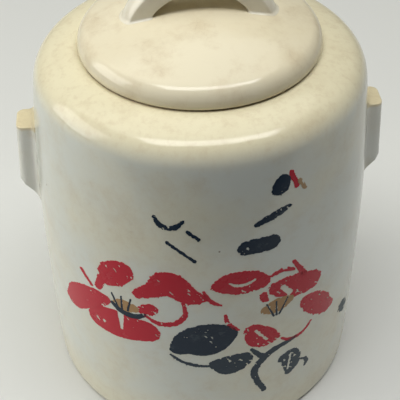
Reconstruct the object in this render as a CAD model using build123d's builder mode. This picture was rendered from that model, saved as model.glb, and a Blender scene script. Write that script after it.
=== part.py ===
"""A lidded stoneware crock for butter, cream glazed, with two side lugs and a flower spray.

The crock is a slip-cast shell with a foot ring, a soft shoulder and a flat seat round its
mouth.  Two solid lugs are luted to the wall.  A loose domed lid rests on the seat, its
flange dropped into the mouth, and carries a luted arch handle.  A flower spray is painted
over the glaze on the front.

Frame: +Z up, origin on the axis at the underside of the foot ring, +X through the right
lug, -Y towards the painted front.  Millimetres.
"""

import os
from math import asin, cos, radians, sin

from build123d import *

os.makedirs("parts", exist_ok=True)

# Crock wall, outside
belly_radius = 90.0
belly_height = 92.0
foot_wall_radius = 88.8
shoulder_corner = (84.0, 198.4)  # where wall and shoulder would meet if sharp
shoulder_middle = (73.6, 201.4)
shoulder_rounding = 14.0

# Foot ring
foot_ring_inner_radius = 77.0
foot_recess = 2.5
foot_rounding = 4.0

# Crock wall, inside
wall = 7.0
floor_top = 9.0
floor_corner_rounding = 12.0
throat_height = 8.2
under_shoulder_rounding = 8.0

# Mouth and seat
seat_height = 203.6
seat_outer_radius = 62.5
mouth_radius = 50.0
small_rounding = 1.6  # foot ring, mouth, throat and flange edges

# Lid
lid_radius = 61.2
rim_lower_rounding = 3.0  # from the flat underside out to the widest line
rim_upper_rounding = 9.0  # from the widest line up on to the dome
lid_crown_height = 225.0
lid_thickness = 8.0
ceiling_drop = 5.5  # of the hollow's roof, from the axis to the flange
ceiling_rounding = 4.8
flange_clearance = 0.7
flange_width = 5.8
flange_depth = 7.8

# Arch handle on the lid: a band bent round a level axis
arch_centre_height = 205.9
arch_inner_radius = 29.3
arch_face_radius = 38.0  # outer radius at the flat front and back faces
arch_ridge_radius = 41.0  # outer radius on the middle plane
arch_depth = 16.4
arch_edge = 0.9
arch_foot_angle = 19.0

# Side lugs
lug_width = 17.0
lug_top = 163.3
lug_top_reach = 96.6
lug_elbow = (98.8, 128.1)
lug_bottom = 112.0
lug_root = 85.0  # hidden inside the wall
lug_plan_rounding = 4.0
lug_edge_rounding = 0.9

# Painted spray
paint_gap = 0.03
paint_thickness = 0.17
spray_turn = -5.7  # degrees that the spray sits round from square to the lugs
spray_reach = 100.0


def round_corner(profile, point, radius):
    """Fillets the corner of the sketch nearest to point."""
    fillet(profile.vertices().sort_by_distance(point)[0], radius)


def finish(builder, label):
    """Labels a finished piece and writes its STEP file."""
    builder.part.label = label
    export_step(builder.part, f"parts/{label}.step")


# ---------------------------------------------------------------- crock body
throat_bottom = seat_height - throat_height
inner_belly_radius = belly_radius - wall
inner_foot_radius = foot_wall_radius - wall
inner_corner = (shoulder_corner[0] - wall, shoulder_corner[1] - throat_height)
mouth_edge = (mouth_radius, seat_height)
throat_edge = (mouth_radius, throat_bottom)
foot_corner = (foot_wall_radius, 0)
foot_inner_corner = (foot_ring_inner_radius, 0)
floor_corner = (inner_foot_radius, floor_top)

with BuildPart() as crock_body:
    with BuildSketch(Plane.XZ) as body_section:
        with BuildLine():
            Polyline((0, foot_recess), (foot_ring_inner_radius, foot_recess), foot_inner_corner, foot_corner)
            TangentArc((belly_radius, belly_height), foot_corner, tangent=(0, -1))
            TangentArc((belly_radius, belly_height), shoulder_corner, tangent=(0, 1))
            ThreePointArc(shoulder_corner, shoulder_middle, (seat_outer_radius, seat_height))
            Polyline((seat_outer_radius, seat_height), mouth_edge, throat_edge, inner_corner)
            TangentArc((inner_belly_radius, belly_height), inner_corner, tangent=(0, 1))
            TangentArc((inner_belly_radius, belly_height), floor_corner, tangent=(0, -1))
            Polyline(floor_corner, (0, floor_top), (0, foot_recess))
        make_face()
        round_corner(body_section, foot_corner, foot_rounding)
        round_corner(body_section, foot_inner_corner, small_rounding)
        round_corner(body_section, shoulder_corner, shoulder_rounding)
        round_corner(body_section, mouth_edge, small_rounding)
        round_corner(body_section, throat_edge, small_rounding)
        round_corner(body_section, inner_corner, under_shoulder_rounding)
        round_corner(body_section, floor_corner, floor_corner_rounding)
    revolve(axis=Axis.Z)
finish(crock_body, "crock_body")

# ---------------------------------------------------------------- side lugs
for label, side in (("right_lug", 1), ("left_lug", -1)):
    with BuildPart() as lug:
        with BuildSketch(Plane.XZ):
            with BuildLine():
                Polyline(
                    (side * lug_root, lug_top),
                    (side * lug_top_reach, lug_top),
                    (side * lug_elbow[0], lug_elbow[1]),
                    (side * lug_root, lug_bottom),
                    close=True,
                )
            make_face()
        extrude(amount=lug_width / 2, both=True)
        outer_face = lug.faces().sort_by(Axis.X)[-1 if side > 0 else 0]
        fillet(outer_face.edges().filter_by(Axis.Y, reverse=True), lug_plan_rounding)
        clear_of_root = lug_root + lug_edge_rounding
        top_edges = lug.faces().sort_by(Axis.Z)[-1].edges()
        fillet(top_edges.filter_by(lambda edge: abs(edge.center().X) > clear_of_root), lug_edge_rounding)
        add(crock_body.part, mode=Mode.SUBTRACT)
    finish(lug, label)

# ---------------------------------------------------------------- lid
rim_height = seat_height + rim_lower_rounding  # of the rim's widest line
rim_centre_radius = lid_radius - rim_upper_rounding
dome_rise = lid_crown_height - rim_height
dome_radius = (rim_centre_radius**2 + dome_rise**2 - rim_upper_rounding**2) / (
    2 * (dome_rise - rim_upper_rounding)
)
dome_slope = asin(rim_centre_radius / (dome_radius - rim_upper_rounding))  # where dome meets rim
dome_edge = (
    rim_centre_radius + rim_upper_rounding * sin(dome_slope),
    rim_height + rim_upper_rounding * cos(dome_slope),
)
rim_tip = (lid_radius, rim_height)
rim_foot = (lid_radius - rim_lower_rounding, seat_height)
flange_outer_radius = mouth_radius - flange_clearance
flange_inner_radius = flange_outer_radius - flange_width
flange_bottom = seat_height - flange_depth
ceiling_height = lid_crown_height - lid_thickness
ceiling_edge = (flange_inner_radius, ceiling_height - ceiling_drop)

with BuildPart() as lid:
    with BuildSketch(Plane.XZ) as lid_section:
        with BuildLine():
            TangentArc((0, lid_crown_height), dome_edge, tangent=(1, 0))
            TangentArc(rim_tip, dome_edge, tangent=(0, 1))
            TangentArc(rim_tip, rim_foot, tangent=(0, -1))
            Polyline(
                rim_foot,
                (flange_outer_radius, seat_height),
                (flange_outer_radius, flange_bottom),
                (flange_inner_radius, flange_bottom),
                ceiling_edge,
            )
            TangentArc((0, ceiling_height), ceiling_edge, tangent=(1, 0))
            Line((0, ceiling_height), (0, lid_crown_height))
        make_face()
        round_corner(lid_section, (flange_outer_radius, flange_bottom), small_rounding)
        round_corner(lid_section, (flange_inner_radius, flange_bottom), small_rounding)
        round_corner(lid_section, ceiling_edge, ceiling_rounding)
    revolve(axis=Axis.Z)
finish(lid, "lid")

# ---------------------------------------------------------------- lid handle
half_depth = arch_depth / 2
foot_turn = radians(arch_foot_angle)
arch_centre = (0, 0, arch_centre_height)
arch_axis = Axis(arch_centre, (0, -1, 0))
arch_foot_plane = Plane(
    arch_centre,
    x_dir=(cos(foot_turn), 0, sin(foot_turn)),
    z_dir=(-sin(foot_turn), 0, cos(foot_turn)),
)
front_edge = (arch_face_radius, -half_depth)
back_edge = (arch_face_radius, half_depth)

with BuildPart() as lid_handle:
    with BuildSketch(arch_foot_plane):
        with BuildLine():
            ThreePointArc(front_edge, (arch_ridge_radius, 0), back_edge)
            Polyline(
                back_edge,
                (arch_inner_radius + arch_edge, half_depth),
                (arch_inner_radius, half_depth - arch_edge),
                (arch_inner_radius, arch_edge - half_depth),
                (arch_inner_radius + arch_edge, -half_depth),
                front_edge,
            )
        make_face()
    revolve(axis=arch_axis, revolution_arc=180 - 2 * arch_foot_angle)
    add(lid.part, mode=Mode.SUBTRACT)
finish(lid_handle, "lid_handle")

# ---------------------------------------------------------------- painted spray
# Each dab of paint is an ellipse seen square on: across, up, half length, half width, tilt.
red_dabs = (
    (-43, 119.5, 12.5, 6.5, 12),
    (-60.5, 85, 17, 8, 42),
    (-42, 78.5, 17.5, 9, 4),
    (-17, 117, 15.5, 8, -14),
    (16, 118.5, 14, 7.5, -12),
    (51, 110, 13, 6.5, -52),
    (63, 80, 15, 6.5, -58),
    (33, 75, 11.5, 6.5, -52),
)
ochre_dabs = (
    (-40, 97, 8, 4.2, -8),
    (37, 95, 8.5, 5.5, -24),
)
navy_dabs = (
    (0.5, 79, 17, 9.5, 10),
    (13, 58.5, 12, 6, 38),
    (43.5, 63.5, 9.5, 1.5, 24),
    (28.5, 50, 12.5, 1.4, 96),
    (47.5, 46, 10.5, 5.2, -58),
    (28, 143.5, 9.5, 5.5, -8),
    (38.5, 175, 6.5, 5, 20),
    (34, 158.6, 8.5, 1.7, 20),
    (-9, 141.5, 8, 0.9, -44),
    (-17, 158.5, 6, 1.4, -36),
)
paint_nodes = (
    ("red_paint", red_dabs, 0),
    ("navy_paint", navy_dabs, 0),
    ("ochre_paint", ochre_dabs, 1),
)

turn = radians(spray_turn)
spray_plane = Plane(
    (0, 0, 0),
    x_dir=(cos(turn), sin(turn), 0),
    z_dir=(sin(turn), -cos(turn), 0),
)
coat = paint_gap + paint_thickness

for label, dabs, coats_below in paint_nodes:
    inside = paint_gap + coat * coats_below
    outside = inside + paint_thickness
    top_inside = (shoulder_corner[0] + inside, shoulder_corner[1])
    top_outside = (shoulder_corner[0] + outside, shoulder_corner[1])
    bottom_inside = (foot_wall_radius + inside, 0)
    bottom_outside = (foot_wall_radius + outside, 0)
    belly_inside = (belly_radius + inside, belly_height)
    belly_outside = (belly_radius + outside, belly_height)
    with BuildPart() as paint:
        with BuildSketch(Plane.XZ):
            with BuildLine():
                Line(bottom_inside, bottom_outside)
                TangentArc(belly_outside, bottom_outside, tangent=(0, -1))
                TangentArc(belly_outside, top_outside, tangent=(0, 1))
                Line(top_outside, top_inside)
                TangentArc(belly_inside, top_inside, tangent=(0, 1))
                TangentArc(belly_inside, bottom_inside, tangent=(0, -1))
            make_face()
        revolve(axis=Axis.Z)
        with BuildSketch(spray_plane):
            for across, up, half_length, half_width, tilt in dabs:
                with Locations((across, up)):
                    Ellipse(half_length, half_width, rotation=tilt)
        extrude(amount=spray_reach, mode=Mode.INTERSECT)
    finish(paint, label)
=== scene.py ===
from collections import Counter
from math import asin, atan2, cos, hypot, pi, radians, sin, sqrt, tan

import bpy
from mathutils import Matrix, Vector, kdtree, noise


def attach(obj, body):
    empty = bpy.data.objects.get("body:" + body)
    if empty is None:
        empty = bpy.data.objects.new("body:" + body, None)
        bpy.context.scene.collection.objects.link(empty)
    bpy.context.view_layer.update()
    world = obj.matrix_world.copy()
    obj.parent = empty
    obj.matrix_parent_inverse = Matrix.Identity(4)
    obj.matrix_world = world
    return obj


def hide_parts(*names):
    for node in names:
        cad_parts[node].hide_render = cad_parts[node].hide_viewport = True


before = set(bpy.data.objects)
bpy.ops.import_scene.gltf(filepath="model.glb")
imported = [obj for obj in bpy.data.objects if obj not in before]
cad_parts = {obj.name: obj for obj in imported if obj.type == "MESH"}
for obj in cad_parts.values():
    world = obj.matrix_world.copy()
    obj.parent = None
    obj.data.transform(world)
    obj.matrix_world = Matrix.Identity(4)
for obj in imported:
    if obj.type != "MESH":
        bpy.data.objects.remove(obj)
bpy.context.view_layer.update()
mm = 0.001


# ------------------------------------------------------------------ camera and room
# The crock stands on a pale table under a broad ceiling light, seen from above its
# front left by someone standing close, with its left lug turned a little nearer.
def deselect_all():
    """Puts every object out of the selection before something new is added."""
    bpy.ops.object.select_all(action="DESELECT")


def work_on(piece):
    """Makes the piece the only one selected, ready for an operator."""
    deselect_all()
    piece.select_set(True)
    bpy.context.view_layer.objects.active = piece


deselect_all()
bpy.ops.object.camera_add(
    location=(-0.0393, -0.4173, 0.4645),
    rotation=(radians(48.8), radians(0.53), radians(-5.73)),
)
camera = bpy.context.active_object
camera.data.lens = 87.4
camera.data.sensor_width = 36.0
camera.data.clip_start = 0.02
bpy.context.scene.camera = camera


def add_panel_light(name, place, aim, size, strength, colour):
    """Hangs a rectangular soft light at place, facing aim."""
    facing = (Vector(aim) - Vector(place)).to_track_quat("-Z", "Y").to_euler()
    deselect_all()
    bpy.ops.object.light_add(type="AREA", location=place, rotation=facing)
    light = bpy.context.active_object
    light.name = name
    light.data.shape = "RECTANGLE"
    light.data.size, light.data.size_y = size
    light.data.energy = strength
    light.data.color = colour
    return light


add_panel_light("ceiling_lamp", (0.05, -0.32, 1.9), (0.0, 0.0, 0.2), (1.8, 0.6), 23, (1.0, 0.99, 0.96))
add_panel_light("pale_ceiling", (-0.1, 0.6, 2.0), (0.0, 0.0, 0.1), (2.4, 1.2), 12, (1.0, 0.99, 0.86))
add_panel_light("left_window", (-1.7, 0.1, 0.8), (0, 0, 0.12), (1.2, 1.2), 15, (1.0, 0.99, 0.92))

# The room is dim to the crock, and shows as a plain pale backdrop.
backdrop_colour = (0.80, 0.81, 0.80, 1)
room = bpy.data.worlds.new("room")
room.use_nodes = True
backdrop = room.node_tree.nodes.new("ShaderNodeBackground")
backdrop.inputs["Color"].default_value = backdrop_colour
dim_room = room.node_tree.nodes["Background"]
dim_room.inputs["Color"].default_value = (0.66, 0.80, 1.0, 1)
dim_room.inputs["Strength"].default_value = 0.03
seen = room.node_tree.nodes.new("ShaderNodeLightPath")
either = room.node_tree.nodes.new("ShaderNodeMixShader")
room.node_tree.links.new(seen.outputs["Is Camera Ray"], either.inputs[0])
room.node_tree.links.new(dim_room.outputs[0], either.inputs[1])
room.node_tree.links.new(backdrop.outputs[0], either.inputs[2])
room.node_tree.links.new(either.outputs[0], room.node_tree.nodes["World Output"].inputs[0])
bpy.context.scene.world = room
bpy.context.scene.view_settings.view_transform = "Standard"

def place_node(tree, kind, values=None, **settings):
    """Adds a node, sets its options, and fills each input with a value or a link."""
    node = tree.nodes.new("ShaderNode" + kind)
    for setting, choice in settings.items():
        setattr(node, setting, choice)
    for socket, value in (values or {}).items():
        if isinstance(value, bpy.types.NodeSocket):
            tree.links.new(value, node.inputs[socket])
        else:
            node.inputs[socket].default_value = value
    return node


def band(tree, value, low, high):
    """0 below low and 1 above high, sliding between them; high may be the lower one."""
    return place_node(tree, "MapRange", {"Value": value, "From Min": low, "From Max": high},
                      interpolation_type="SMOOTHSTEP").outputs[0]


def maths(tree, operation, first, second):
    """One sum on two values."""
    return place_node(tree, "Math", {0: first, 1: second}, operation=operation).outputs[0]


def blend_colours(tree, factor, first, second):
    """The first colour turning into the second as factor goes from 0 to 1."""
    return place_node(tree, "Mix", {0: factor, 6: first, 7: second}, data_type="RGBA").outputs[2]


# The table is pale to the eye. In front of the crock it is painted near-black for every ray but the camera's,
# so it throws little light back on the wall: painted shade on the front wall, and a dark painted reflection
# in its glaze. Far off it melts into the backdrop.
deselect_all()
bpy.ops.mesh.primitive_circle_add(vertices=96, radius=5.0, fill_type="TRIFAN", location=(0, 0, 0))
table = bpy.context.active_object
table.name = "table"
table_paint = bpy.data.materials.new("pale_table_with_painted_shade")
table_paint.use_nodes = True
table_tree = table_paint.node_tree
table_shader = table_tree.nodes["Principled BSDF"]
table_shader.inputs["Roughness"].default_value = 0.6
table_place = place_node(table_tree, "TexCoord").outputs["Object"]
by_eye = place_node(table_tree, "LightPath").outputs["Is Camera Ray"]
forward = place_node(table_tree, "SeparateXYZ", {0: table_place}).outputs["Y"]
not_by_eye = maths(table_tree, "SUBTRACT", 1, by_eye)
# Painted shade: more than about 0.27 m in front of the crock the table turns near-black to every ray but the
# camera's.
painted_shade_area = maths(table_tree, "MULTIPLY", band(table_tree, forward, -0.25, -0.29), not_by_eye)
shade = blend_colours(table_tree, painted_shade_area, (0.76, 0.77, 0.76, 1), (0.04, 0.05, 0.06, 1))
table_tree.links.new(shade, table_shader.inputs["Base Color"])
distance = place_node(table_tree, "VectorMath", {0: table_place}, operation="LENGTH").outputs["Value"]
melting = maths(table_tree, "MULTIPLY", band(table_tree, distance, 0.5, 1.3), by_eye)
far_glow = place_node(table_tree, "Emission", {"Color": backdrop_colour, "Strength": 1.0})
table_end = place_node(
    table_tree, "MixShader", {0: melting, 1: table_shader.outputs[0], 2: far_glow.outputs[0]}
)
table_tree.links.new(table_end.outputs[0], table_tree.nodes["Material Output"].inputs["Surface"])
table.data.materials.append(table_paint)


# ------------------------------------------------------------------ crock body
# Slip-cast stoneware, glazed cream inside and out: a gently bellied wall on a foot ring,
# a soft shoulder, and a flat seat round the mouth.  The foot ring and seat are bare clay.
belly_radius = 90.0 * mm
belly_height = 92.0 * mm
foot_radius = 88.8 * mm
shoulder_corner = Vector((84.0 * mm, 198.4 * mm))
shoulder_bulge = 0.5 * mm
seat_height = 203.6 * mm
seat_radius = 62.5 * mm
mouth_radius = 50.0 * mm
wall_thickness = 7.0 * mm
floor_top = 9.0 * mm
foot_recess = 2.5 * mm
foot_ring_inner = 77.0 * mm
foot_rounding = 4.0 * mm
shoulder_rounding = 14.0 * mm
floor_rounding = 12.0 * mm
throat_depth = 8.2 * mm
foot_edge = 1.0 * mm
soft_edge = 1.6 * mm
hub = 4.0 * mm  # radius of the ring that closes each end of a turned piece
wheel_segments = 64


def wall_radius(height):
    """Outside radius of the wall, between the foot and the shoulder."""
    if height < belly_height:
        lean = (belly_radius - foot_radius) / belly_height**2
    else:
        lean = (belly_radius - shoulder_corner.x) / (shoulder_corner.y - belly_height) ** 2
    return belly_radius - lean * (height - belly_height) ** 2


def shoulder_height(radius):
    """Height of the shoulder, which swells a little above a straight slope down from the seat."""
    along = (radius - seat_radius) / (shoulder_corner.x - seat_radius)
    return seat_height + (shoulder_corner.y - seat_height) * along + 4 * shoulder_bulge * along * (1 - along)


def rounded(corner, before, after, radius, steps=4):
    """Points of the arc of that radius tucked into a corner between two straight runs."""
    corner, before, after = Vector(corner), Vector(before), Vector(after)
    back, forth = (before - corner).normalized(), (after - corner).normalized()
    half = back.angle(forth) / 2
    centre = corner + (back + forth).normalized() * (radius / sin(half))
    start = corner + back * (radius / tan(half)) - centre
    end = corner + forth * (radius / tan(half)) - centre
    turn = start.angle_signed(end)
    return [centre + Vector((
        start.x * cos(turn * i / steps) + start.y * sin(turn * i / steps),
        start.y * cos(turn * i / steps) - start.x * sin(turn * i / steps),
    )) for i in range(steps + 1)]


def turn_on_wheel(name, rings, segments=wheel_segments):
    """A round piece raised ring by ring from its (radius, height) outline, closed at both ends."""
    swell = 3 / (2 + cos(2 * pi / segments))  # subdividing draws a ring in by this much
    deselect_all()
    bpy.ops.mesh.primitive_circle_add(
        vertices=segments, radius=rings[0][0] * swell, fill_type="TRIFAN", location=(0, 0, rings[0][1])
    )
    piece = bpy.context.active_object
    piece.name = name
    bpy.ops.object.mode_set(mode="EDIT")
    bpy.ops.mesh.region_to_loop()
    for (radius, height), (next_radius, next_height) in zip(rings, rings[1:]):
        bpy.ops.mesh.extrude_edges_move(
            TRANSFORM_OT_translate={"value": (0, 0, next_height - height)}
        )
        scale = next_radius / radius
        bpy.ops.transform.resize(value=(scale, scale, 1), center_override=(0, 0, next_height))
    bpy.ops.mesh.extrude_edges_move()
    bpy.ops.mesh.merge(type="CENTER")
    bpy.ops.mesh.select_all(action="SELECT")
    bpy.ops.mesh.normals_make_consistent(inside=False)
    bpy.ops.object.mode_set(mode="OBJECT")
    bpy.ops.object.transform_apply(location=True, rotation=True, scale=True)
    return piece


def apply_modifier(piece, name, kind, **settings):
    """Adds a modifier with those settings and applies it."""
    modifier = piece.modifiers.new(name, kind)
    for setting, value in settings.items():
        setattr(modifier, setting, value)
    work_on(piece)
    bpy.ops.object.modifier_apply(modifier=name)


def subdivide_smoothly(piece, levels):
    """Rounds the piece by subdivision and shades it smooth."""
    apply_modifier(piece, "smooth", "SUBSURF", levels=levels, render_levels=levels)
    bpy.ops.object.shade_smooth()


def grain(tree, place, scale, detail=4, roughness=0.55):
    """Cloudy noise of that scale over the piece, as a value."""
    values = {"Vector": place, "Scale": scale, "Detail": detail, "Roughness": roughness}
    return place_node(tree, "TexNoise", values).outputs["Fac"]


def new_group(name, inputs, outputs):
    """A shader node group with those (name, kind) sockets, and its two end nodes."""
    group = bpy.data.node_groups.new(name, "ShaderNodeTree")
    for socket, kind in inputs:
        group.interface.new_socket(socket, in_out="INPUT", socket_type="NodeSocket" + kind)
    for socket, kind in outputs:
        group.interface.new_socket(socket, in_out="OUTPUT", socket_type="NodeSocket" + kind)
    return group, group.nodes.new("NodeGroupInput").outputs, group.nodes.new("NodeGroupOutput").inputs


old_glaze, given, result = new_group(
    "old_glaze",
    [("Clean", "Color"), ("Warm", "Color"), ("Stain", "Color"), ("Staining", "Float"), ("Bare", "Float"),
     ("Yellowing and top light", "Float")],
    [("Color", "Color"), ("Roughness", "Float"), ("Height", "Float")],
)
spot = place_node(old_glaze, "TexCoord").outputs["Object"]
clouds = grain(old_glaze, spot, 13, 4)
blotches = grain(old_glaze, spot, 48, 7, 0.68)
specks = grain(old_glaze, spot, 620, 3)
patches = maths(old_glaze, "MULTIPLY", band(old_glaze, clouds, 0.40, 0.72), 0.6)
warmth = maths(old_glaze, "MAXIMUM", patches, given["Yellowing and top light"])
colour = blend_colours(old_glaze, warmth, given["Clean"], given["Warm"])
mottle = band(old_glaze, grain(old_glaze, spot, 260, 6, 0.65), 0.46, 0.70)
mottle = maths(old_glaze, "MULTIPLY", mottle, warmth)
colour = blend_colours(old_glaze, maths(old_glaze, "MULTIPLY", mottle, 0.30), colour, given["Stain"])
stained = maths(old_glaze, "MULTIPLY", band(old_glaze, blotches, 0.45, 0.74), given["Staining"])
colour = blend_colours(old_glaze, stained, colour, given["Stain"])
cracks = place_node(old_glaze, "TexVoronoi", {"Vector": spot, "Scale": 170.0}, feature="DISTANCE_TO_EDGE")
crazing = maths(old_glaze, "MULTIPLY", band(old_glaze, cracks.outputs["Distance"], 0.04, 0.0), stained)
colour = blend_colours(old_glaze, maths(old_glaze, "MULTIPLY", crazing, 0.28), colour, (0.34, 0.25, 0.15, 1))
cells = place_node(old_glaze, "TexVoronoi", {"Vector": spot, "Scale": 85.0})
draw = place_node(old_glaze, "SeparateColor", {0: cells.outputs["Color"]}).outputs[0]
chosen = band(old_glaze, draw, 0.955, 0.965)
pits = maths(old_glaze, "MULTIPLY", band(old_glaze, cells.outputs["Distance"], 0.055, 0.03), chosen)
colour = blend_colours(old_glaze, maths(old_glaze, "MULTIPLY", pits, 0.8), colour, (0.20, 0.14, 0.08, 1))
speckle = band(old_glaze, specks, 0.35, 0.7)
clay = blend_colours(old_glaze, speckle, (0.62, 0.53, 0.41, 1), (0.44, 0.36, 0.27, 1))
colour = blend_colours(old_glaze, given["Bare"], colour, clay)
old_glaze.links.new(colour, result["Color"])
dull = maths(old_glaze, "MULTIPLY_ADD", stained, 0.16)
dull.node.inputs[2].default_value = 0.14
dull = maths(old_glaze, "MAXIMUM", dull, maths(old_glaze, "MULTIPLY", given["Bare"], 0.8))
old_glaze.links.new(dull, result["Roughness"])
ripple = maths(old_glaze, "ADD", clouds, maths(old_glaze, "MULTIPLY", grain(old_glaze, spot, 70, 2), 0.22))
ripple = maths(old_glaze, "SUBTRACT", ripple, maths(old_glaze, "MULTIPLY", pits, 0.25))
grit = maths(old_glaze, "MULTIPLY", maths(old_glaze, "MULTIPLY", specks, given["Bare"]), 0.12)
old_glaze.links.new(maths(old_glaze, "ADD", ripple, grit), result["Height"])


def glaze_material(name, clean, warm, stain, staining, bare=None, yellowed_and_lit_above=None):
    """Old cream glaze, tinted warm above a height (part age yellowing, part painted light from above) and
    yellowed near the foot.

    bare works out from height and radius where the clay shows.
    """
    material = bpy.data.materials.new(name)
    material.use_nodes = True
    tree = material.node_tree
    group = place_node(tree, "Group", node_tree=old_glaze)
    for socket, value in {"Clean": clean, "Warm": warm, "Stain": stain}.items():
        group.inputs[socket].default_value = (*value, 1)
    group.inputs["Staining"].default_value = staining
    place = place_node(tree, "TexCoord").outputs["Object"]
    height = place_node(tree, "SeparateXYZ", {0: place}).outputs["Z"]
    if bare:
        level = place_node(tree, "VectorMath", {0: place, 1: (1, 1, 0)}, operation="MULTIPLY").outputs[0]
        radius = place_node(tree, "VectorMath", {0: level}, operation="LENGTH").outputs["Value"]
        wander = maths(tree, "MULTIPLY", grain(tree, place, 160, 3), 0.8 * mm)
        shown = bare(tree, maths(tree, "ADD", height, wander), maths(tree, "ADD", radius, wander))
        tree.links.new(shown, group.inputs["Bare"])
    # Above the given height the glaze turns warm: part age yellowing, part painted light standing in for the
    # warm light on the top faces. Near the foot it is real yellowing.
    if yellowed_and_lit_above:
        low, high = yellowed_and_lit_above
        foot_grime = maths(tree, "MULTIPLY", band(tree, height, 42 * mm, 6 * mm), 0.7)
        yellowed_and_top_lit = maths(tree, "MAXIMUM", band(tree, height, low, high), foot_grime)
        tree.links.new(yellowed_and_top_lit, group.inputs["Yellowing and top light"])
    shader = tree.nodes["Principled BSDF"]
    tree.links.new(group.outputs["Color"], shader.inputs["Base Color"])
    tree.links.new(group.outputs["Roughness"], shader.inputs["Roughness"])
    relief = {"Height": group.outputs["Height"], "Strength": 0.35, "Distance": 1.2 * mm}
    bump = place_node(tree, "Bump", relief)
    tree.links.new(bump.outputs[0], shader.inputs["Normal"])
    return material


def bare_on_crock(tree, height, radius):
    """Clay shows under the foot ring and on the seat inside the glaze line."""
    foot = band(tree, height, 1.6 * mm, 1.1 * mm)
    level = band(tree, height, seat_height - 0.3 * mm, seat_height)
    seat = maths(tree, "MULTIPLY", level, band(tree, radius, 61.0 * mm, 60.4 * mm))
    return maths(tree, "MAXIMUM", foot, seat)


throat_bottom = seat_height - throat_depth
inner_corner = shoulder_corner - Vector((wall_thickness, throat_depth))
inner_foot = foot_radius - wall_thickness
shoulder_run = [(radius * mm, shoulder_height(radius * mm)) for radius in (71, 67.5, 64.5)]
below_shoulder = 182 * mm

outline = [(hub, foot_recess), (40 * mm, foot_recess), (70 * mm, foot_recess)]
outline += rounded((foot_ring_inner, foot_recess), (0, foot_recess), (foot_ring_inner, 0), foot_edge, 2)
outline += rounded((foot_ring_inner, 0), (foot_ring_inner, foot_recess), (foot_radius, 0), foot_edge, 2)
outline += rounded((foot_radius, 0), (0, 0), (foot_radius, belly_height), foot_rounding)
outline += [(wall_radius(h * mm), h * mm) for h in (17, 30, 45, 61, 76, 92, 105, 118, 131, 144, 157, 170)]
wall_end = (wall_radius(below_shoulder), below_shoulder)
outline += [wall_end]
outline += rounded(shoulder_corner, wall_end, shoulder_run[0], shoulder_rounding, 6)
seat_inner = (60 * mm, seat_height)
outline += shoulder_run + [(seat_radius, seat_height), seat_inner, (56 * mm, seat_height)]
mouth_edge = (mouth_radius, seat_height)
throat_edge = (mouth_radius, throat_bottom)
outline += rounded(mouth_edge, seat_inner, throat_edge, soft_edge, 3)
outline += rounded(throat_edge, mouth_edge, inner_corner, soft_edge, 3)
outline += rounded(inner_corner, throat_edge, (inner_corner.x + 1 * mm, 160 * mm), 8 * mm)
outline += [(wall_radius(h * mm) - wall_thickness, h * mm) for h in (166, 144, 118, 92, 61, 36)]
outline += rounded((inner_foot, floor_top), (inner_foot, 90 * mm), (0, floor_top), floor_rounding)
outline += [(50 * mm, floor_top), (25 * mm, floor_top), (hub, floor_top)]

crock = turn_on_wheel("glazed_crock", outline)
subdivide_smoothly(crock, 2)
# The wall colour is greyer than the top's. The warm top is part age yellowing and part painted light from
# above, and the grey wall partly stands in for the cool shade on it.
crock.data.materials.append(glaze_material(
    "cream_glaze", (0.73, 0.755, 0.70), (0.81, 0.75, 0.545), (0.60, 0.49, 0.32), 0.28,
    bare=bare_on_crock, yellowed_and_lit_above=(186 * mm, 199 * mm),
))
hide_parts("crock_body")
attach(crock, "crock")


# ------------------------------------------------------------------ side lugs
# Two solid blocks pressed in a mould, their outer faces leaning with the wall and their
# undersides cut back, luted on with slip that is smoothed into a small fillet.
lug_half_width = 8.5 * mm
lug_top = 163.3 * mm
lug_top_reach = 96.6 * mm
lug_elbow_reach = 98.8 * mm
lug_elbow = 128.1 * mm
lug_bottom = 112.0 * mm
lug_root = 84.0 * mm
lug_fillet = 3.6 * mm
lug_corner_rounding = 4.0 * mm
lug_edge_rounding = 0.9 * mm


def select_by_place(piece, kind, wanted):
    """Selects the vertices, or the edges or faces by their middle, that pass the test wanted."""
    bpy.ops.object.mode_set(mode="EDIT")
    bpy.ops.mesh.select_mode(type=kind)
    bpy.ops.mesh.select_all(action="DESELECT")
    bpy.ops.object.mode_set(mode="OBJECT")
    vertices = piece.data.vertices
    elements = {"VERT": vertices, "EDGE": piece.data.edges, "FACE": piece.data.polygons}[kind]
    for element in elements:
        corners = [element.co] if kind == "VERT" else [vertices[i].co for i in element.vertices]
        element.select = wanted(sum(corners, Vector()) / len(corners))
    bpy.ops.object.mode_set(mode="EDIT")


def slice_mesh(place, direction):
    """Cuts every face of the piece being edited along a plane, leaving both sides."""
    bpy.ops.mesh.select_all(action="SELECT")
    bpy.ops.mesh.bisect(plane_co=place, plane_no=direction)


deselect_all()
bpy.ops.mesh.primitive_cube_add(
    size=1, location=(0.5 * (lug_root + lug_elbow_reach), 0, 0.5 * (lug_bottom + lug_top))
)
lug = bpy.context.active_object
lug.name = "right_lug_block"
lug.scale = (lug_elbow_reach - lug_root, 2 * lug_half_width, lug_top - lug_bottom)
bpy.ops.object.transform_apply(location=True, rotation=True, scale=True)
bpy.ops.object.mode_set(mode="EDIT")
slice_mesh((0, 0, lug_elbow), (0, 0, 1))
select_by_place(lug, "VERT", lambda at: at.x > 90 * mm and at.z > 160 * mm)
bpy.ops.transform.translate(value=(lug_top_reach - lug_elbow_reach, 0, 0))
select_by_place(lug, "VERT", lambda at: at.x > 90 * mm and at.z < 120 * mm)
bpy.ops.transform.translate(value=(lug_root + 1 * mm - lug_elbow_reach, 0, 0))
select_by_place(lug, "EDGE", lambda at: at.x > 95 * mm and abs(at.y) > 8 * mm)
bpy.ops.mesh.bevel(offset=lug_corner_rounding, segments=7, affect="EDGES", clamp_overlap=True)
for height in (118, 122, 135, 142, 149, 156):
    slice_mesh((0, 0, height * mm), (0, 0, 1))
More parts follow.
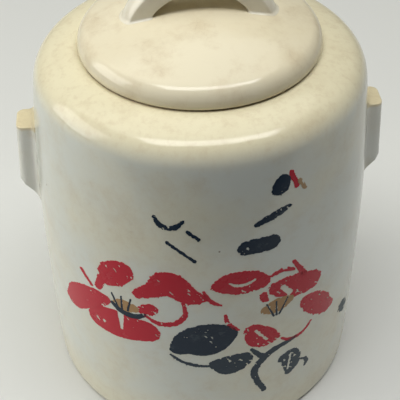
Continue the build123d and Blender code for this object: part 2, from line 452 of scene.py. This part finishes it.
for reach in (86.0, 87.0, 88.0, 88.8, 89.6, 90.4, 91.4, 92.6, 94.0):
    slice_mesh((reach * mm, 0, 0), (1, 0, 0))
for across in (-4, -1.5, 1.5, 4):
    slice_mesh((0, across * mm, 0), (0, 1, 0))
bpy.ops.object.mode_set(mode="OBJECT")
apply_modifier(
    lug, "soft_edges", "BEVEL",
    width=lug_edge_rounding, segments=3, limit_method="ANGLE", angle_limit=radians(40),
)
for vertex in lug.data.vertices:
    at = vertex.co
    off_wall = hypot(at.x, at.y) - wall_radius(at.z)
    sideways = Vector((0, vertex.normal.y, vertex.normal.z))
    if off_wall < lug_fillet and sideways.length > 0.3:
        rise = lug_fillet - max(off_wall, 0)
        vertex.co = at + sideways.normalized() * (lug_fillet - sqrt(lug_fillet**2 - rise**2))
work_on(lug)
bpy.ops.object.shade_smooth_by_angle(angle=radians(35))

work_on(lug)
bpy.ops.object.duplicate()
left_lug = bpy.context.active_object
left_lug.name = "left_lug_block"
bpy.ops.transform.rotate(value=pi, orient_axis="Z", center_override=(0, 0, 0))
bpy.ops.object.transform_apply(location=True, rotation=True, scale=True)
# The lug's top face is tinted warm: part age yellowing, part painted light from above.
lug_material = glaze_material(
    "lug_glaze", (0.84, 0.84, 0.78), (0.78, 0.69, 0.47), (0.58, 0.47, 0.30), 0.35,
    yellowed_and_lit_above=(lug_top - 2.5 * mm, lug_top - 0.3 * mm)
)
for block, node in ((lug, "right_lug"), (left_lug, "left_lug")):
    block.data.materials.append(lug_material)
    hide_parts(node)
    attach(block, "crock")


# ------------------------------------------------------------------ lid
# A cast disc with a low dome, a bull-nosed rim and a flange underneath that drops in the
# mouth.  It is glazed all over but for the flat that rests on the seat.
lid_radius = 61.2 * mm
rim_lower = 3.0 * mm  # radius of the rim's underside
rim_upper = 9.0 * mm  # radius of the rim where it rolls on to the dome
rim_height = seat_height + rim_lower
rim_lower_centre = Vector((lid_radius - rim_lower, rim_height))
rim_upper_centre = Vector((lid_radius - rim_upper, rim_height))
lid_crown = 225.0 * mm
flange_outer = 49.3 * mm
flange_inner = 43.5 * mm
flange_bottom = seat_height - 7.8 * mm
ceiling_crown = lid_crown - 8.0 * mm
ceiling_drop = 5.5 * mm
dome_rise = lid_crown - rim_height
dome_radius = (rim_upper_centre.x**2 + dome_rise**2 - rim_upper**2) / (2 * (dome_rise - rim_upper))
dome_slope = asin(rim_upper_centre.x / (dome_radius - rim_upper))


def dome_height(radius):
    """Height of the top of the lid's dome."""
    return lid_crown - dome_radius + sqrt(dome_radius**2 - radius**2)


def ceiling_height(radius):
    """Height of the roof of the hollow under the lid."""
    return ceiling_crown - ceiling_drop * (radius / flange_inner) ** 2


flange_inner_edge = (flange_inner, flange_bottom)
flange_outer_edge = (flange_outer, flange_bottom)
outline = [(hub, ceiling_height(hub))] + [(radius * mm, ceiling_height(radius * mm)) for radius in (20, 33)]
outline += rounded((flange_inner, ceiling_height(flange_inner)), outline[-1], flange_inner_edge, 4.8 * mm)
outline += rounded(flange_inner_edge, (flange_inner, 210 * mm), flange_outer_edge, soft_edge, 3)
outline += rounded(flange_outer_edge, flange_inner_edge, (flange_outer, 200 * mm), soft_edge, 3)
outline += [(flange_outer, seat_height - 0.8 * mm), (flange_outer + 0.6 * mm, seat_height)]
outline += [(53.5 * mm, seat_height)]
for step in range(5):
    angle = -pi / 2 * (1 - step / 5)
    outline.append(rim_lower_centre + rim_lower * Vector((cos(angle), sin(angle))))
for step in range(9):
    angle = (pi / 2 - dome_slope) * step / 8
    outline.append(rim_upper_centre + rim_upper * Vector((cos(angle), sin(angle))))
outline += [(radius * mm, dome_height(radius * mm)) for radius in (52.5, 49, 42, 33, 22, 12)]
outline += [(hub, dome_height(hub))]


def bare_on_lid(tree, height, radius):
    """Clay shows on the flat that rests on the seat, outside the flange."""
    level = band(tree, height, seat_height + 0.8 * mm, seat_height + 0.5 * mm)
    return maths(tree, "MULTIPLY", level, band(tree, radius, 49.6 * mm, 50.0 * mm))


lid = turn_on_wheel("domed_lid", outline)
subdivide_smoothly(lid, 2)
lid.data.materials.append(glaze_material(
    "lid_glaze", (0.83, 0.76, 0.58), (0.79, 0.70, 0.49), (0.60, 0.48, 0.31), 0.50, bare_on_lid
))
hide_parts("lid")
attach(lid, "lid")


# ------------------------------------------------------------------ lid handle
# An arched band of clay, flat on its two faces and crowned on its back, bent round and
# luted across the top of the lid with a thin fillet of slip at each foot.
arch_centre = Vector((0, 0, 205.9 * mm))
arch_inner = 29.3 * mm
arch_face = 38.0 * mm
arch_ridge = 41.0 * mm
arch_half_depth = 8.2 * mm
arch_edge = 0.9 * mm
arch_foot_turn = radians(19)
handle_fillet = 1.1 * mm

deselect_all()
bpy.ops.mesh.primitive_plane_add(size=1, location=(0.5 * (arch_inner + arch_face), 0, arch_centre.z))
handle = bpy.context.active_object
handle.name = "arch_handle"
handle.scale = (arch_face - arch_inner, 2 * arch_half_depth, 1)
bpy.ops.object.transform_apply(location=True, rotation=True, scale=True)
select_by_place(handle, "EDGE", lambda at: at.x > 0.5 * (arch_inner + arch_face))
bpy.ops.mesh.subdivide(number_cuts=5)
bpy.ops.object.mode_set(mode="OBJECT")
for vertex in handle.data.vertices:
    if vertex.co.x > 0.5 * (arch_inner + arch_face):
        vertex.co.x += (arch_ridge - arch_face) * (1 - (vertex.co.y / arch_half_depth) ** 2)
select_by_place(handle, "VERT", lambda at: at.x < arch_inner + 0.1 * mm)
bpy.ops.mesh.bevel(offset=arch_edge, segments=3, affect="VERTICES")
hair = 0.01 * mm
select_by_place(handle, "VERT", lambda at: abs(at.y) > arch_half_depth - hair and at.x > arch_face - hair)
bpy.ops.mesh.bevel(offset=0.7 * mm, segments=2, affect="VERTICES")
bpy.ops.mesh.select_all(action="SELECT")
bpy.ops.transform.rotate(value=arch_foot_turn, orient_axis="Y", center_override=arch_centre)
bpy.ops.mesh.spin(steps=90, angle=pi - 2 * arch_foot_turn, center=arch_centre, axis=(0, 1, 0))
bpy.ops.mesh.select_all(action="SELECT")
bpy.ops.mesh.remove_doubles(threshold=hair)
bpy.ops.mesh.normals_make_consistent(inside=False)
bpy.ops.object.mode_set(mode="OBJECT")


def foot_angle(reach, across):
    """How far round its arc, up from level, a line of the band rises out of the dome."""
    low, high = 0, pi / 2
    for _ in range(24):
        angle = (low + high) / 2
        height = arch_centre.z + reach * sin(angle)
        if height < dome_height(hypot(reach * cos(angle), across)) - 0.5 * mm:
            low = angle
        else:
            high = angle
    return high


# Each line of the band runs from dome to dome, with its steps closer together at its feet.
for vertex in handle.data.vertices:
    at = vertex.co
    reach = hypot(at.x, at.z - arch_centre.z)
    along = (atan2(at.z - arch_centre.z, at.x) - arch_foot_turn) / (pi - 2 * arch_foot_turn)
    foot = foot_angle(reach, at.y)
    angle = foot + (pi - 2 * foot) * (0.5 - 0.5 * cos(pi * min(max(along, 0), 1)))
    vertex.co = (reach * cos(angle), at.y, arch_centre.z + reach * sin(angle))
apply_modifier(handle, "smooth", "SUBSURF", levels=1, render_levels=1)
for vertex in handle.data.vertices:
    at = vertex.co
    off_lid = at.z - dome_height(hypot(at.x, at.y))
    sideways = Vector((vertex.normal.x, vertex.normal.y, 0))
    if off_lid < handle_fillet and sideways.length > 0.3:
        rise = handle_fillet - max(off_lid, 0)
        spread = at + sideways.normalized() * (handle_fillet - sqrt(handle_fillet**2 - rise**2))
        spread.z = dome_height(hypot(spread.x, spread.y)) + off_lid
        vertex.co = spread
work_on(handle)
bpy.ops.object.shade_smooth()
handle.data.materials.append(glaze_material(
    "handle_glaze", (0.86, 0.82, 0.70), (0.83, 0.76, 0.58), (0.60, 0.47, 0.29), 0.35,
))
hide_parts("lid_handle")
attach(handle, "lid")


# ------------------------------------------------------------------ painted spray
# Two red blossoms with ochre centres, navy leaves and loose strokes, brushed over the
# fired glaze as a thin film.  Years of washing have frayed its edges and flaked it.
spray_turn = radians(-5.7)
film_thickness = 0.11 * mm
flake = 0.42  # millimetres: the smallest chip that the film's mesh can show


def flowing_line(points, step):
    """A smooth line through the points, about step millimetres from one spot to the next."""
    points = [Vector(point) for point in points]
    last = len(points) - 1
    line = []
    for i in range(last):
        before, start, end, after = (points[min(max(i + k, 0), last)] for k in (-1, 0, 1, 2))
        cuts = max(2, round((end - start).length / step))
        for cut in range(cuts):
            t = cut / cuts
            line.append(0.5 * (
                2 * start + (end - before) * t
                + (2 * before - 5 * start + 4 * end - after) * t * t
                + (3 * start - before - 3 * end + after) * t**3
            ))
    return line + [points[-1]]


def pull(*points):
    """One pull of the brush through (across, up, half width); gives the depth inside it."""
    widest = max(point[2] for point in points)
    line = flowing_line(points, max(0.35, 0.12 * widest))
    tree = kdtree.KDTree(len(line))
    for index, at in enumerate(line):
        tree.insert((at.x, at.y, 0), index)
    tree.balance()

    def depth(at):
        distance = tree.find(at)[2]
        if distance > widest + 2:
            return widest - distance
        return max(spot.z - hypot(at.x - spot.x, at.y - spot.y) for spot in line)
    return depth, line


def curl(across, up, radius, start, sweep, half_width):
    """A thin stroke along part of a circle, thinner at both ends; start and sweep in degrees."""
    swell = (0.6, 0.9, 1.0, 0.9, 0.6)
    turns = [radians(start + sweep * i / 4) for i in range(5)]
    return pull(*[
        (across + radius * cos(turn), up + radius * sin(turn), half_width * full)
        for turn, full in zip(turns, swell)
    ])


def cloud(at, size, seed):
    """Even noise of about that size in millimetres, from -1 to 1, the same every time."""
    return 2.2 * noise.fractal(Vector((at.x / size, at.y / size, seed)), 0.9, 2.0, 3)


def cut_away(patch, corners):
    """Deletes those corners of the film and the flakes that meet there."""
    select_by_place(patch, "VERT", lambda at: False)
    bpy.ops.object.mode_set(mode="OBJECT")
    for corner in corners:
        patch.data.vertices[corner].select = True
    bpy.ops.object.mode_set(mode="EDIT")
    bpy.ops.mesh.delete(type="VERT")
    bpy.ops.object.mode_set(mode="OBJECT")


def mend_film(patch, fewest_flakes=8):
    """Frees flakes that touch only at a corner, then drops the crumbs that are left."""
    while True:
        uses = Counter(edge for face in patch.data.polygons for edge in face.edge_keys)
        rim_ends = Counter(end for edge, faces in uses.items() if faces == 1 for end in edge)
        pinched = [end for end, edges in rim_ends.items() if edges > 2]
        if not pinched:
            break
        cut_away(patch, pinched)
    island = list(range(len(patch.data.vertices)))

    def island_of(corner):
        while island[corner] != corner:
            island[corner] = island[island[corner]]
            corner = island[corner]
        return corner

    for face in patch.data.polygons:
        for corner in face.vertices:
            island[island_of(corner)] = island_of(face.vertices[0])
    sizes = Counter(island_of(face.vertices[0]) for face in patch.data.polygons)
    crumbs = [corner for corner in range(len(island)) if sizes[island_of(corner)] < fewest_flakes]
    if crumbs:
        cut_away(patch, crumbs)


def lay_film(marks, worn, fray, flaking, seed, fade=0.0):
    """One patch of film: what is left of the marks once the worn places are taken out."""
    spots = [at for _, line in marks for at in line]
    margin = 2.0
    left = min(at.x - at.z for at in spots) - margin
    right = max(at.x + at.z for at in spots) + margin
    bottom = min(at.y - at.z for at in spots) - margin
    top = max(at.y + at.z for at in spots) + margin

    def depth(at):
        inside = max(mark(at) for mark, _ in marks)
        if inside < -margin:
            return inside
        inside += fray * (cloud(at, 2.6, seed) + 0.5 * cloud(at, 1.0, seed + 5))
        for hole, _ in worn:
            inside = min(inside, -hole(at) + 0.6 * fray * cloud(at, 1.6, seed + 9))
        slanted = Vector((at.x + 0.6 * at.y, 0.45 * at.y, 0))
        chips = cloud(slanted, 1.5, seed + 13) + 0.5 * cloud(at, 9, seed + 21)
        return min(inside, (flaking - chips) * 1.5)

    columns, rows = round((right - left) / flake), round((top - bottom) / flake)
    deselect_all()
    bpy.ops.mesh.primitive_grid_add(
        x_subdivisions=columns, y_subdivisions=rows, size=1,
        location=((left + right) / 2 * mm, -1.2 * belly_radius, (bottom + top) / 2 * mm),
        rotation=(pi / 2, 0, 0),
    )
    patch = bpy.context.active_object
    patch.scale = ((right - left) * mm, (top - bottom) * mm, 1)
    bpy.ops.object.transform_apply(location=True, rotation=True, scale=True)
    select_by_place(patch, "FACE", lambda at: depth(Vector((at.x, at.z, 0)) / mm) <= 0)
    bpy.ops.mesh.delete(type="FACE")
    bpy.ops.object.mode_set(mode="OBJECT")
    mend_film(patch)
    bpy.ops.object.mode_set(mode="EDIT")
    bpy.ops.mesh.select_mode(type="FACE")
    bpy.ops.mesh.select_all(action="SELECT")
    bpy.ops.mesh.region_to_loop()
    bpy.ops.object.mode_set(mode="OBJECT")
    nudge = 0.05
    for vertex in patch.data.vertices:
        if not vertex.select:
            continue
        at = Vector((vertex.co.x / mm, vertex.co.z / mm, 0))
        here = depth(at)
        beside, above = depth(at + Vector((nudge, 0, 0))), depth(at + Vector((0, nudge, 0)))
        slope = Vector((beside - here, above - here, 0)) / nudge
        move = slope * (-here / max(slope.length_squared, 0.25))
        move *= min(1, 0.45 * flake / max(move.length, 1e-6))
        vertex.co += Vector((move.x, 0, move.y)) * mm
    faded = patch.data.attributes.new("fade", "FLOAT", "POINT")
    for value in faded.data:
        value.value = fade
    return patch


def fit_film(name, patches):
    """Joins the patches of one colour, wraps them on the wall and gives them their thickness."""
    deselect_all()
    for patch in patches:
        patch.select_set(True)
    bpy.context.view_layer.objects.active = patches[0]
    bpy.ops.object.join()
    film = bpy.context.active_object
    film.name = name
    film.rotation_euler.z = spray_turn
    apply_modifier(film, "wrap", "SHRINKWRAP", target=crock, wrap_method="PROJECT",
                   use_project_x=False, use_project_y=True, use_project_z=False,
                   use_negative_direction=False, use_positive_direction=True)
    bpy.ops.object.transform_apply(location=True, rotation=True, scale=True)
    apply_modifier(film, "thickness", "SOLIDIFY", thickness=film_thickness, offset=0.7)
    bpy.ops.object.shade_smooth_by_angle(angle=radians(40))
    return film


# Left blossom: five petals pulled towards the centre, its calyx, and the ring beside it
left_centre = pull((-44, 96, 2), (-40, 97, 4), (-35, 97, 3))
calyx = curl(-37, 102, 11, -145, 100, 1.9)
left_stamens = [pull((root, 94, 0.6), (tip, 103, 0.45)) for root, tip in ((-43, -46), (-41, -41), (-38, -36))]
left_upper_petals = lay_film([
    pull((-48, 112, 4.5), (-44, 117, 7.5), (-40, 121, 6.5)),
    pull((-32, 109, 3), (-24, 114, 5), (-16, 120, 8), (-7, 113, 6), (0, 111, 3)),
    pull((-51, 110, 2), (-53, 103, 2)),
    pull((-31, 97.5, 2.5), (-26, 99.5, 4)),
], [left_centre, calyx, *left_stamens, pull((-44, 103, 1.3), (-34, 117, 0.8))], 0.34, 1.5, 3.1)
left_side_petal = lay_film(
    [pull((-69, 77, 4.5), (-64, 86, 7), (-57, 92, 6.5), (-50, 96, 3))], [left_centre, calyx], 0.16, 1.8, 7.7
)
left_lower_petal = lay_film(
    [pull((-54, 77, 6.5), (-46, 80, 10), (-37, 81, 9), (-29, 82, 7.5))],
    [calyx, pull((-42, 94, 2.2), (-42, 78, 0.7))], 0.18, 1.75, 11.3,
)
left_ring = lay_film([
    curl(-20, 102, 12, -135, 160, 1.6),
    pull((-62, 108, 1), (-57, 101, 1)),
], [], 0.2, 1.6, 13.0)

# Right blossom: looser, its petals further apart and more worn
right_centre = pull((33, 96, 3), (39, 97, 5), (45, 98, 2.5))
right_stamens = [pull((root, 90, 0.6), (tip, 100, 0.45)) for root, tip in ((37, 33), (38.5, 38), (40, 44))]
right_petals = lay_film([
    pull((8, 119, 3.5), (15, 120, 7), (23, 119.5, 7.5), (30, 118, 4.5)),
    pull((38, 110, 4.5), (46, 107, 7.5), (54, 104, 7), (58, 101, 3.5)),
    pull((55, 90, 4), (60, 84, 6), (65, 76, 5), (69, 71, 2.5)),
    pull((26, 83, 4.5), (31, 76, 7.5), (37, 73, 4)),
    pull((31, 108, 2), (32, 104, 2)),
], [
    right_centre, *right_stamens, curl(20, 128, 10, -130, 80, 1),
    pull((28, 82, 0.9), (34, 73, 0.7)), pull((41, 109, 1.5), (45, 103, 1.5)),
], 0.36, 1.45, 17.9, fade=0.15)
right_strays = lay_film([
    curl(14, 118, 13, 190, 60, 1.3), curl(40, 112, 9, 125, -80, 1.4), pull((46, 124, 1), (52, 112, 1.5)),
    curl(50, 74, 9, -20, -130, 1.1), curl(26, 98, 14, 180, 60, 1.3), pull((42, 180, 1.2), (45, 171, 1.2)),
], [], 0.18, 1.6, 23.0, fade=0.15)
red_film = fit_film("red_petals", [
    left_upper_petals, left_side_petal, left_lower_petal, left_ring, right_petals, right_strays,
])

ochre_film = fit_film("ochre_centres", [
    lay_film([left_centre], [calyx, *left_stamens], 0.2, 1.4, 29.0),
    lay_film([right_centre], right_stamens, 0.2, 1.4, 31.0),
    lay_film([pull((46, 174, 1), (49, 168, 1))], [], 0.25, 1.2, 37.0, fade=0.4),
])

# Navy: calyx and stamens, the large leaf and its lobe, the stem with its small leaf, and dabs
large_leaf = lay_film([
    pull((-13, 72, 4), (-6, 78, 9), (2, 80, 12), (10, 83, 8), (15, 83.5, 3.5)),
], [], 0.2, 1.8, 47.0)
leaf_lobe = lay_film([
    curl(2, 84, 25, 222, 55, 1.2),
    pull((7, 60, 3.5), (14, 58.5, 7.5), (21, 61, 6)),
], [], 0.26, 1.5, 53.0, fade=0.3)
stem = lay_film([
    pull((50, 65, 1.2), (36, 61, 2.2), (28, 48, 2.1), (34, 30, 1.4)),
    pull((26, 68, 1), (32, 60, 2)),
], [], 0.22, 1.6, 59.0, fade=0.3)
small_leaf = lay_film([
    pull((44, 51, 3), (48, 50, 5.5), (49, 42, 4.5), (47.5, 37, 2)),
    curl(52, 37, 6, 60, -90, 1.2),
], [pull((48, 52, 0.6), (47, 40, 0.6))], 0.28, 1.3, 61.0, fade=0.45)
stray_dabs = lay_film([
    curl(-15, 163, 7, 190, 150, 1.5),
    pull((-6, 154, 0.9), (-1, 150, 0.9)),
    pull((-16, 147, 0.9), (-3, 136, 0.9)),
    pull((26, 155, 1.2), (34, 158, 2.2), (42, 161, 1.2)),
    pull((22, 142, 4.5), (34, 142, 4.5)),
    pull((37, 173, 4), (38, 176, 4)),
], [], 0.24, 1.6, 71.0)
navy_film = fit_film("navy_strokes", [
    lay_film([calyx, *left_stamens], [], 0.1, 1.8, 41.0),
    lay_film(right_stamens, [], 0.1, 1.8, 43.0, fade=0.2),
    large_leaf, leaf_lobe, stem, small_leaf, stray_dabs,
    lay_film([pull((79, 56, 2), (81, 49, 2))], [], 0.4, 1.2, 67.0, fade=1.0),
])


worn_paint, given, result = new_group(
    "worn_paint",
    [("Fresh", "Color"), ("Faded", "Color"), ("Fading", "Float"), ("Scratched", "Float")],
    [("Color", "Color"), ("Roughness", "Float"), ("Height", "Float")],
)
spot = place_node(worn_paint, "TexCoord").outputs["Object"]
rubbed = band(worn_paint, grain(worn_paint, spot, 90, 5), 0.55, 0.85)
rubbed = maths(worn_paint, "ADD", given["Fading"], rubbed)
colour = blend_colours(worn_paint, rubbed, given["Fresh"], given["Faded"])
stretch = {"Vector": spot, "Rotation": (0, radians(38), 0), "Scale": (1, 1, 5)}
stretched = place_node(worn_paint, "Mapping", stretch).outputs[0]
scratches = band(worn_paint, grain(worn_paint, stretched, 330, 6, 0.7), 0.60, 0.70)
scratches = maths(worn_paint, "MULTIPLY", scratches, given["Scratched"])
worn_paint.links.new(blend_colours(worn_paint, scratches, colour, (0.70, 0.66, 0.58, 1)), result["Color"])
dull = maths(worn_paint, "MULTIPLY_ADD", rubbed, 0.2)
dull.node.inputs[2].default_value = 0.24
worn_paint.links.new(dull, result["Roughness"])
worn_paint.links.new(grain(worn_paint, spot, 700, 3), result["Height"])


def paint_material(name, fresh, faded, scratched):
    """Enamel over the glaze, paler where it is rubbed thin, with fine scratches through it."""
    material = bpy.data.materials.new(name)
    material.use_nodes = True
    tree = material.node_tree
    group = place_node(tree, "Group", node_tree=worn_paint)
    group.inputs["Fresh"].default_value = (*fresh, 1)
    group.inputs["Faded"].default_value = (*faded, 1)
    group.inputs["Scratched"].default_value = scratched
    fading = place_node(tree, "Attribute", attribute_name="fade").outputs["Fac"]
    tree.links.new(fading, group.inputs["Fading"])
    shader = tree.nodes["Principled BSDF"]
    tree.links.new(group.outputs["Color"], shader.inputs["Base Color"])
    tree.links.new(group.outputs["Roughness"], shader.inputs["Roughness"])
    shader.inputs["Specular IOR Level"].default_value = 0.2
    relief = {"Height": group.outputs["Height"], "Strength": 0.25, "Distance": 0.15 * mm}
    bump = place_node(tree, "Bump", relief)
    tree.links.new(bump.outputs[0], shader.inputs["Normal"])
    return material


for film, node, fresh, faded, scratched in (
    (red_film, "red_paint", (0.56, 0.008, 0.030), (0.54, 0.035, 0.055), 0.02),
    (ochre_film, "ochre_paint", (0.46, 0.27, 0.12), (0.48, 0.36, 0.24), 0.05),
    (navy_film, "navy_paint", (0.005, 0.020, 0.045), (0.07, 0.10, 0.12), 0.05),
):
    film.data.materials.append(paint_material(node, fresh, faded, scratched))
    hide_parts(node)
    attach(film, "crock")
